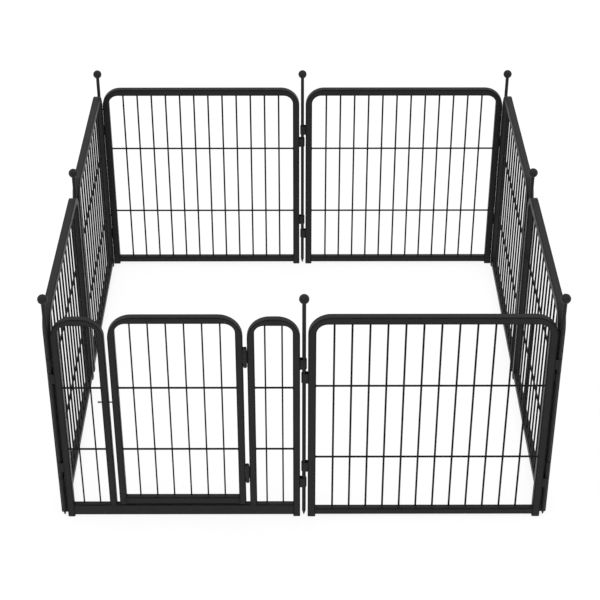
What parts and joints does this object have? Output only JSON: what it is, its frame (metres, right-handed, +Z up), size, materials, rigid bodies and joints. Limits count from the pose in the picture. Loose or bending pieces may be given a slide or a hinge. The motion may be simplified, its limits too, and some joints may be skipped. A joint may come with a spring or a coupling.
{
  "type": "pet playpen",
  "caption": "Square free-standing ring of black wire panels pinned together by ball-topped stakes, with a swinging gate and a slide bolt in one panel.",
  "frame": {"origin": "on the floor at the centre of the square ring", "axes": "+X to the right and +Y to the back, seen from in front of the gate panel; +Z up"},
  "size_m": [1.2446, 1.2457, 0.6693],
  "materials": {
    "powder_coat": "black powder coat, satin, fine orange peel",
    "plug_plastic": "matte black moulded plastic",
    "zinc_plating": "bright zinc plate"
  },
  "bodies": {
    "door_panel": {"door_left_arch": "powder_coat", "door_right_arch": "powder_coat", "door_bottom_rail": "powder_coat", "door_left_wires": "powder_coat", "door_right_wires": "powder_coat", "door_foot_a": "plug_plastic", "door_foot_b": "plug_plastic", "gate_hinge_pin_lower": "powder_coat", "gate_hinge_pin_upper": "powder_coat"},
    "gate": {"gate_frame": "powder_coat", "gate_bottom_rail": "powder_coat", "gate_wire_grid": "powder_coat"},
    "latch": {"latch_pin": "zinc_plating"},
    "front_right_panel": {"front_right_frame": "powder_coat", "front_right_bottom_rail": "powder_coat", "front_right_wire_grid": "powder_coat", "front_right_foot_a": "plug_plastic", "front_right_foot_b": "plug_plastic"},
    "right_front_panel": {"right_front_frame": "powder_coat", "right_front_bottom_rail": "powder_coat", "right_front_wire_grid": "powder_coat", "right_front_foot_a": "plug_plastic", "right_front_foot_b": "plug_plastic"},
    "right_back_panel": {"right_back_frame": "powder_coat", "right_back_bottom_rail": "powder_coat", "right_back_wire_grid": "powder_coat", "right_back_foot_a": "plug_plastic", "right_back_foot_b": "plug_plastic"},
    "back_right_panel": {"back_right_frame": "powder_coat", "back_right_bottom_rail": "powder_coat", "back_right_wire_grid": "powder_coat", "back_right_foot_a": "plug_plastic", "back_right_foot_b": "plug_plastic"},
    "back_left_panel": {"back_left_frame": "powder_coat", "back_left_bottom_rail": "powder_coat", "back_left_wire_grid": "powder_coat", "back_left_foot_a": "plug_plastic", "back_left_foot_b": "plug_plastic"},
    "left_back_panel": {"left_back_frame": "powder_coat", "left_back_bottom_rail": "powder_coat", "left_back_wire_grid": "powder_coat", "left_back_foot_a": "plug_plastic", "left_back_foot_b": "plug_plastic"},
    "left_front_panel": {"left_front_frame": "powder_coat", "left_front_bottom_rail": "powder_coat", "left_front_wire_grid": "powder_coat", "left_front_foot_a": "plug_plastic", "left_front_foot_b": "plug_plastic"},
    "front_left_stake": {"front_left_stake": "powder_coat"},
    "front_middle_stake": {"front_middle_stake": "powder_coat"},
    "front_right_stake": {"front_right_stake": "powder_coat"},
    "right_middle_stake": {"right_middle_stake": "powder_coat"},
    "back_right_stake": {"back_right_stake": "powder_coat"},
    "back_middle_stake": {"back_middle_stake": "powder_coat"},
    "back_left_stake": {"back_left_stake": "powder_coat"},
    "left_middle_stake": {"left_middle_stake": "powder_coat"}
  },
  "joints": [
    {"name": "front_middle_seam", "type": "hinge", "parent": "door_panel", "child": "front_right_panel", "pos_m": [0, -0.61, 0], "axis": [0, 0, 1], "range_deg": [-4, 94]},
    {"name": "front_right_seam", "type": "hinge", "parent": "front_right_panel", "child": "right_front_panel", "pos_m": [0.61, -0.61, 0], "axis": [0, 0, 1], "range_deg": [-94, 4]},
    {"name": "right_middle_seam", "type": "hinge", "parent": "right_front_panel", "child": "right_back_panel", "pos_m": [0.61, 0, 0], "axis": [0, 0, 1], "range_deg": [-4, 94]},
    {"name": "back_right_seam", "type": "hinge", "parent": "right_back_panel", "child": "back_right_panel", "pos_m": [0.61, 0.61, 0], "axis": [0, 0, 1], "range_deg": [-94, 4]},
    {"name": "front_left_seam", "type": "hinge", "parent": "door_panel", "child": "left_front_panel", "pos_m": [-0.61, -0.61, 0], "axis": [0, 0, 1], "range_deg": [-4, 94]},
    {"name": "left_middle_seam", "type": "hinge", "parent": "left_front_panel", "child": "left_back_panel", "pos_m": [-0.61, 0, 0], "axis": [0, 0, 1], "range_deg": [-94, 4]},
    {"name": "back_left_seam", "type": "hinge", "parent": "left_back_panel", "child": "back_left_panel", "pos_m": [-0.61, 0.61, 0], "axis": [0, 0, 1], "range_deg": [-4, 94]},
    {"name": "gate_hinge", "type": "hinge", "parent": "door_panel", "child": "gate", "pos_m": [-0.141, -0.61875, 0], "axis": [0, 0, 1], "range_deg": [0, 165]},
    {"name": "latch_slide", "type": "slide", "parent": "door_panel", "child": "latch", "axis": [1, 0, 0], "range_m": [0, 0.004]},
    {"name": "front_left_stake_lift", "type": "slide", "parent": "door_panel", "child": "front_left_stake", "axis": [0, 0, 1], "range_m": [0, 0.66]},
    {"name": "front_middle_stake_lift", "type": "slide", "parent": "door_panel", "child": "front_middle_stake", "axis": [0, 0, 1], "range_m": [0, 0.66]},
    {"name": "front_right_stake_lift", "type": "slide", "parent": "front_right_panel", "child": "front_right_stake", "axis": [0, 0, 1], "range_m": [0, 0.66]},
    {"name": "right_middle_stake_lift", "type": "slide", "parent": "right_front_panel", "child": "right_middle_stake", "axis": [0, 0, 1], "range_m": [0, 0.66]},
    {"name": "back_right_stake_lift", "type": "slide", "parent": "right_back_panel", "child": "back_right_stake", "axis": [0, 0, 1], "range_m": [0, 0.66]},
    {"name": "back_middle_stake_lift", "type": "slide", "parent": "back_right_panel", "child": "back_middle_stake", "axis": [0, 0, 1], "range_m": [0, 0.66]},
    {"name": "back_left_stake_lift", "type": "slide", "parent": "left_back_panel", "child": "back_left_stake", "axis": [0, 0, 1], "range_m": [0, 0.66]},
    {"name": "left_middle_stake_lift", "type": "slide", "parent": "left_front_panel", "child": "left_middle_stake", "axis": [0, 0, 1], "range_m": [0, 0.66]}
  ],
  "couplings": [
    {"joint": "front_right_seam", "follows": "front_middle_seam", "ratio": -1},
    {"joint": "right_middle_seam", "follows": "front_middle_seam", "ratio": 1},
    {"joint": "back_right_seam", "follows": "front_middle_seam", "ratio": -1},
    {"joint": "front_left_seam", "follows": "front_middle_seam", "ratio": 1},
    {"joint": "left_middle_seam", "follows": "front_middle_seam", "ratio": -1},
    {"joint": "back_left_seam", "follows": "front_middle_seam", "ratio": 1}
  ]
}
